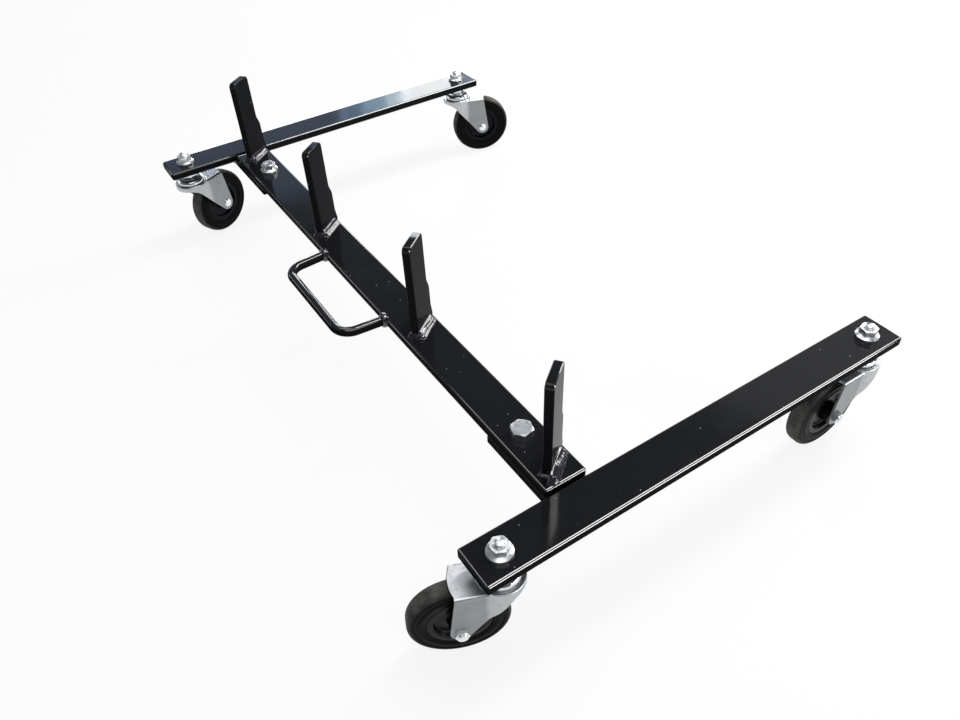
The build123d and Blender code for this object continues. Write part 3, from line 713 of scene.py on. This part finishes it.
def make_handle():
    corner_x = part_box("handle")[0].x + ROD_RADIUS
    corner_y = ROD_END_Y - ROD_SPLAY
    corners = [
        (BAR_LEFT, -ROD_END_Y, 0.0),
        (corner_x, -corner_y, ROD_BEND),
        (corner_x, corner_y, ROD_BEND),
        (BAR_LEFT, ROD_END_Y, 0.0),
    ]
    line = [Vector((x, y, (BAR_TOP + BAR_UNDER) / 2)) for x, y in rounded_outline(corners, ROD_BEND_STEPS)]
    turns = [2 * math.pi * step / ROD_AROUND for step in range(ROD_AROUND)]
    bm = bmesh.new()
    rings = []
    for k, here in enumerate(line):
        along = (line[min(k + 1, len(line) - 1)] - line[max(k - 1, 0)]).normalized()
        side = along.cross(UP)
        rings.append([bm.verts.new(here + (side * math.cos(t) + UP * math.sin(t)) * ROD_RADIUS) for t in turns])
    for first, second in zip(rings, rings[1:]):
        for k, face in enumerate(bridge(bm, first, second)):
            height = math.sin(2 * math.pi * (k + 0.5) / ROD_AROUND)
            face.material_index = int(height < ROD_GLOSS_FROM)
    bm.faces.new(rings[0])
    bm.faces.new(list(reversed(rings[-1])))
    stand_for(mesh_object("handle_finish", bm, rod_paint, side_paint), "handle")


# Weld beads: a section swept along a corner line, with lengthwise ridges, faint ripples and small lumps

BEAD_STEPS = 40
BEAD_STEP_LENGTH = 0.6 * MM
BEAD_SINK = 0.2 * MM
BEAD_TAPER = 4.0 * MM
BEAD_LEAST_REACH = 0.1 * MM
BEAD_PASSES = 3
BEAD_FAN_STEPS = 10
BEAD_SHARP_ANGLE = 60.0
SECTION_POWER = 1.5
# Shares of the bead's leg
PLAIN_SIZE, RIDGE_SIZE, RIPPLE_SIZE, LUMP_SIZE = 0.93, 0.06, 0.003, 0.04
RIPPLE_PERIOD, RIPPLE_BOW = 4.6 * MM, 3.0 * MM
WANDER_SIZE, WANDER_RATE, WANDER_SEED = 0.15, 60, 8
LUMP_RATE, LUMP_STEP = 90, 0.07


def bead_ring(bm, station, phase, fade, seed):
    corner, out, rise, leg = station
    ring = [bm.verts.new(corner - (out + rise) * BEAD_SINK)]
    wander = WANDER_SIZE * noise.noise(Vector((phase * WANDER_RATE, 0, seed + WANDER_SEED)))
    for k in range(BEAD_STEPS + 1):
        turn = math.pi / 2 * k / BEAD_STEPS
        bow = RIPPLE_BOW * math.sin(2 * turn)
        lump = noise.noise(Vector((phase * LUMP_RATE, k * LUMP_STEP, seed)))
        ridge = 0.5 - 0.5 * math.cos(2 * math.pi * BEAD_PASSES * (k / BEAD_STEPS + wander))
        ripple = math.sin(2 * math.pi * (phase - bow) / RIPPLE_PERIOD)
        wave = RIDGE_SIZE * ridge * math.sin(2 * turn) + RIPPLE_SIZE * ripple
        size = leg * fade * (PLAIN_SIZE + wave + LUMP_SIZE * lump)
        across, up = size * math.cos(turn) ** SECTION_POWER, size * math.sin(turn) ** SECTION_POWER
        sink = BEAD_SINK if k in (0, BEAD_STEPS) else 0.0
        ring.append(bm.verts.new(corner + out * (across - sink * (k > 0)) + rise * (up - sink * (k == 0))))
    return ring


def add_bead(bm, stations, seed):
    """stations are (corner point, outward direction, rising direction, leg); the ends taper off."""
    path = [0.0]
    for here, nxt in zip(stations, stations[1:]):
        step = (nxt[0] + nxt[1] * nxt[3] / 2) - (here[0] + here[1] * here[3] / 2)
        path.append(path[-1] + step.length)
    rings = []
    for station, s in zip(stations, path):
        reach = min(1.0, (min(s, path[-1] - s) + BEAD_LEAST_REACH) / BEAD_TAPER)
        rings.append(bead_ring(bm, station, s, math.sqrt(1 - (1 - reach) ** 2), seed))
    for first, second in zip(rings, rings[1:]):
        bridge(bm, first, second)
    bm.faces.new(list(reversed(rings[0])))
    bm.faces.new(rings[-1])


def straight_run(start, stop, out, rise, leg):
    steps = max(2, round((stop - start).length / BEAD_STEP_LENGTH))
    return [(start.lerp(stop, k / steps), out, rise, leg) for k in range(steps + 1)]


def corner_fan(point, out, next_out, rise, leg, next_leg):
    """The bead goes round an outside corner of the plate."""
    fan = []
    for k in range(1, BEAD_FAN_STEPS):
        part = k / BEAD_FAN_STEPS
        fan.append((point, out.slerp(next_out, part), rise, leg + (next_leg - leg) * part))
    return fan


POST_TURN = math.radians(38.5)
POST_THICKNESS, POST_INSET = 9.5 * MM, 12.0 * MM
POST_ALONG = Vector((math.cos(POST_TURN), math.sin(POST_TURN), 0))
POST_FACING = Vector((math.sin(POST_TURN), -math.cos(POST_TURN), 0))
FRONT_BEAD_LENGTH, BACK_BEAD_LENGTH = 36.1 * MM, 44.5 * MM
FRONT_LEG, END_LEG, BACK_LEG = 10.0 * MM, 6.0 * MM, 5.0 * MM
NEAR_END_LEG, NEAR_END_LAP = 3.5 * MM, 4.0 * MM
RUN_ON, RUN_ON_BACK_WIDTH, RUN_ON_BAR_RIM = 11.0 * MM, 3.0 * MM, 0.6 * MM
RUN_ON_FRONT_SEED, RUN_ON_BACK_SEED, POST_SEED_STEP = 5.0, 6.0, 10.0


def run_on_bead(bm, start, stop, out, width, seed):
    """A bead past the near post's corner, lower and narrower towards the main bar's end."""
    run = []
    for at, *_ in straight_run(start, stop, out, UP, FRONT_LEG):
        leg = min(FRONT_LEG, (at.y - BAR_NEAR_END - RUN_ON_BAR_RIM) / -POST_FACING.y)
        across = min(width, leg)
        run.append((at, out, UP * (leg ** 2 / FRONT_LEG / across), across))
    add_bead(bm, run, seed)


def post_bead(bm, number):
    """One bead round the post's foot: front, left end and back; on the near post the front one runs on."""
    foot_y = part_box(f"post_{number}")[0].y + POST_THICKNESS / 2 * abs(POST_FACING.y)
    left = Vector((BAR_LEFT + POST_INSET, foot_y, BAR_TOP))
    front_corner, back_corner = left + POST_FACING * (POST_THICKNESS / 2), left - POST_FACING * (POST_THICKNESS / 2)
    front_end = front_corner + POST_ALONG * FRONT_BEAD_LENGTH
    back_end = back_corner + POST_ALONG * BACK_BEAD_LENGTH
    if number == 1:
        end_leg = NEAR_END_LEG
        stop = front_corner - POST_ALONG * RUN_ON
        run_on_bead(bm, front_end, stop, POST_FACING, FRONT_LEG, RUN_ON_FRONT_SEED)
        run_on_bead(bm, front_corner, stop, -POST_FACING, RUN_ON_BACK_WIDTH, RUN_ON_BACK_SEED)
        lap = front_corner + POST_ALONG * NEAR_END_LAP
        stations = straight_run(lap, front_corner, POST_FACING, UP, end_leg)
    else:
        end_leg = END_LEG
        stations = straight_run(front_end, front_corner, POST_FACING, UP, FRONT_LEG)
        stations += corner_fan(front_corner, POST_FACING, -POST_ALONG, UP, FRONT_LEG, end_leg)
    stations += straight_run(front_corner, back_corner, -POST_ALONG, UP, end_leg)
    stations += corner_fan(back_corner, -POST_ALONG, -POST_FACING, UP, end_leg, BACK_LEG)
    stations += straight_run(back_corner, back_end, -POST_FACING, UP, BACK_LEG)
    add_bead(bm, stations, POST_SEED_STEP * number)


STUB_LEG, STUB_INSET, STUB_SIDE_LENGTH = 6.0 * MM, 1.5 * MM, 36.0 * MM
STUB_SEED, STUB_SEED_STEP = 60.0, 5


def stub_beads(bm, node, side):
    """Beads between a stub plate's side and end edges and the cross bar above it."""
    seed = STUB_SEED + STUB_SEED_STEP * side
    low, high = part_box(node)
    end = low.y if side < 0 else high.y
    outer = end - side * STUB_INSET
    inner = side * (abs(outer) - STUB_SIDE_LENGTH)
    for x, out in ((low.x, Vector((-1, 0, 0))), (high.x, Vector((1, 0, 0)))):
        start, stop = Vector((x, outer, BAR_UNDER)), Vector((x, inner, BAR_UNDER))
        add_bead(bm, straight_run(start, stop, out, -UP, STUB_LEG), seed + x)
    start, stop = Vector((low.x + STUB_INSET, end, BAR_UNDER)), Vector((high.x - STUB_INSET, end, BAR_UNDER))
    add_bead(bm, straight_run(start, stop, Vector((0, side, 0)), -UP, STUB_LEG), seed)


RING_RADIUS, RING_REACH, RING_RISE = 6.2 * MM, 5.0 * MM, 3.2 * MM
RING_AROUND, RING_SECTION = 72, 14
RING_PLAIN_SIZE, RING_LUMP_SIZE, RING_RIPPLE_SIZE = 0.92, 0.10, 0.06
RING_LUMP_RATE, RING_LUMP_TILT = 2.2, 0.4
RING_RIPPLE_PERIOD, RING_RIPPLE_POWER = 3.1 * MM, 0.6
RING_SEED, RING_SEED_STEP = 80.0, 3


def handle_bead(bm, side):
    """A lumpy ring round the rod's end that laps over the bar's top and bottom edges."""
    seed = RING_SEED + RING_SEED_STEP * side
    centre = Vector((BAR_LEFT, side * ROD_END_Y, (BAR_TOP + BAR_UNDER) / 2))
    rings = []
    for step in range(RING_AROUND):
        turn = 2 * math.pi * step / RING_AROUND
        radial = Vector((0, math.cos(turn), math.sin(turn)))
        ripple = abs(math.sin(math.pi * RING_RADIUS * turn / RING_RIPPLE_PERIOD)) ** RING_RIPPLE_POWER
        ring = []
        for k in range(RING_SECTION):
            spin = 2 * math.pi * k / RING_SECTION
            around = (math.cos(turn) * RING_LUMP_RATE, math.sin(turn) * RING_LUMP_RATE)
            lump = noise.noise(Vector((*around, seed + RING_LUMP_TILT * math.cos(spin))))
            size = RING_PLAIN_SIZE + RING_LUMP_SIZE * lump + RING_RIPPLE_SIZE * ripple
            along = Vector((RING_REACH * math.cos(spin) * size, 0, 0))
            ring.append(bm.verts.new(centre + along + radial * (RING_RADIUS + RING_RISE * math.sin(spin) * size)))
        rings.append(ring)
    for first, second in zip(rings, rings[1:] + rings[:1]):
        bridge(bm, first, second)


def make_beads():
    foot_beads, under_beads, rod_beads = bmesh.new(), bmesh.new(), bmesh.new()
    for number in POST_NUMBERS:
        post_bead(foot_beads, number)
    for node, side in (("near_stub_plate", -1), ("far_stub_plate", 1)):
        stub_beads(under_beads, node, side)
        handle_bead(rod_beads, side)
    for bm, node in ((foot_beads, "post_welds"), (under_beads, "stub_welds"), (rod_beads, "handle_welds")):
        stand_for(mesh_object(node + "_finish", bm, weld_metal, sharp_angle=BEAD_SHARP_ANGLE), node)


make_handle()
make_beads()


# Floor, light and camera

FLOOR_HALF = 12.0
FLOOR_GLOW_SHARE = 0.86
WORLD_COLOUR = (0.13, 0.14, 0.16, 1.0)
WHITE = (1.0, 1.0, 1.0)
MIDDLE, NEAR_BAR, FAR_BAR = (0.0, 0.0, 0.15), (0.0, -0.435, 0.14), (0.1, 0.435, 0.14)
# Name, place, target, width, height, radiance and lean in degrees
LAMPS = (
    ("key_top", (-0.459, -0.985, 2.84), MIDDLE, 2.2, 2.2, 1.5, 0.0),
    ("top_back", (-0.15, 1.25, 2.75), MIDDLE, 0.8, 0.8, 3.0, 0.0),
    ("edge_high", (1.30, -0.04, 2.47), NEAR_BAR, 0.45, 2.3, 14.0, 17.0),
    ("edge_low", (1.395, -2.885, 0.742), NEAR_BAR, 2.35, 0.42, 17.0, 5.0),
    ("right_wall", (2.85, -0.10, 1.08), MIDDLE, 1.2, 1.4, 7.0, 0.0),
    ("left_wall", (-1.905, 2.27, 0.75), MIDDLE, 1.4, 0.6, 2.2, 0.0),
    ("near_glow", (2.41, 0.53, 1.99), NEAR_BAR, 1.3, 1.0, 0.45, 0.0),
    ("back_low", (1.15, 2.75, 0.52), MIDDLE, 2.0, 0.4, 8.0, 0.0),
    ("post_streak", (1.28, 0.33, 2.40), NEAR_BAR, 0.25, 0.35, 12.0, 0.0),
)
BACK_Y, BACK_LOW = 3.4, 1.27
# Name, left, right, top, radiance and tint of the panels that the far bar mirrors
BACK_PANELS = (
    ("navy", 0.10, 1.22, 1.97, 0.55, (0.50, 0.65, 1.0)),
    ("blue", 1.22, 1.375, 1.97, 1.6, (0.45, 0.65, 1.0)),
    ("pale", 1.375, 1.53, 2.4, 3.0, (0.52, 0.76, 1.0)),
    ("light", 1.53, 1.65, 2.4, 4.8, (0.72, 0.88, 1.0)),
    ("white", 1.65, 1.97, 2.4, 7.5, (0.97, 0.99, 1.0)),
    ("slate", 1.97, 2.25, 1.97, 2.0, (0.60, 0.75, 1.0)),
)
LENS_OF_PHOTO, SENSOR_WIDTH = 30.114, 36.0
CAMERA_PLACE = (-0.47086, -0.77812, 0.74609)
CAMERA_RIGHT = Vector((0.834399, -0.549980, -0.036056))
CAMERA_DOWN = Vector((-0.394594, -0.550420, -0.735753))


def make_floor():
    """A pale floor that camera and mirror rays see nearly white, with the rack's shadow on it."""
    mesh = bpy.data.meshes.new("studio_floor")
    corners = [(x * FLOOR_HALF, y * FLOOR_HALF, 0) for x, y in ((-1, -1), (1, -1), (1, 1), (-1, 1))]
    mesh.from_pydata(corners, [], [(0, 1, 2, 3)])
    floor = bpy.data.objects.new("studio_floor", mesh)
    bpy.context.scene.collection.objects.link(floor)
    mat, tree, shader = new_material("studio_floor")
    tone = noise_value(tree, object_coords(tree), scale=3.0, detail=2.0)
    tree.links.new(mix_colour(tree, tone, (0.80, 0.80, 0.80), (0.83, 0.83, 0.83)), shader.inputs["Base Color"])
    shader.inputs["Roughness"].default_value = 0.9
    shader.inputs["Specular IOR Level"].default_value = 0.0
    path = add_node(tree, "LightPath").outputs
    seen = arithmetic(tree, "MAXIMUM", path["Is Camera Ray"], path["Is Glossy Ray"])
    seen = arithmetic(tree, "MAXIMUM", seen, path["Is Transmission Ray"])
    glow = add_node(tree, "Emission", Color=(*WHITE, 1.0), Strength=1.0)
    blend = add_node(tree, "MixShader")
    part = arithmetic(tree, "MULTIPLY", seen, FLOOR_GLOW_SHARE)
    for socket, value in zip(blend.inputs, (part, shader.outputs[0], glow.outputs[0])):
        tree.links.new(value, socket)
    tree.links.new(blend.outputs[0], tree.nodes["Material Output"].inputs["Surface"])
    dress(floor, mat)


def make_world():
    world = bpy.data.worlds.new("studio")
    bpy.context.scene.world = world
    world.use_nodes = True
    background = world.node_tree.nodes["Background"]
    background.inputs["Color"].default_value = WORLD_COLOUR
    background.inputs["Strength"].default_value = 1.0


def add_lamp(name, place, target, width, height, radiance, lean=0.0, tint=WHITE):
    """A rectangular light at a place, facing the target; lean tips its top to the left as seen from the target."""
    lamp = bpy.data.lights.new(name, "AREA")
    lamp.shape = "RECTANGLE"
    lamp.size, lamp.size_y = width, height
    lamp.energy = math.pi * width * height * radiance
    lamp.color = tint
    obj = bpy.data.objects.new(name, lamp)
    bpy.context.scene.collection.objects.link(obj)
    obj.location = place
    facing = (Vector(target) - Vector(place)).to_track_quat("-Z", "Y")
    obj.rotation_euler = (facing @ Quaternion((0, 0, 1), math.radians(-lean))).to_euler()


def add_lamps():
    for lamp in LAMPS:
        add_lamp(*lamp)
    for name, left, right, top, radiance, tint in BACK_PANELS:
        place = ((left + right) / 2, BACK_Y, (BACK_LOW + top) / 2)
        add_lamp("back_" + name, place, FAR_BAR, right - left, top - BACK_LOW, radiance, tint=tint)


def make_camera():
    data = bpy.data.cameras.new("photo_camera")
    data.sensor_fit = "HORIZONTAL"
    data.sensor_width = SENSOR_WIDTH
    data.lens = LENS_OF_PHOTO
    camera = bpy.data.objects.new("photo_camera", data)
    bpy.context.scene.collection.objects.link(camera)
    turn = Matrix((CAMERA_RIGHT, -CAMERA_DOWN, CAMERA_DOWN.cross(CAMERA_RIGHT))).transposed()
    camera.matrix_world = Matrix.Translation(CAMERA_PLACE) @ turn.to_4x4()
    bpy.context.scene.camera = camera


make_floor()
make_world()
add_lamps()
make_camera()
bpy.context.scene.view_settings.view_transform = "Standard"
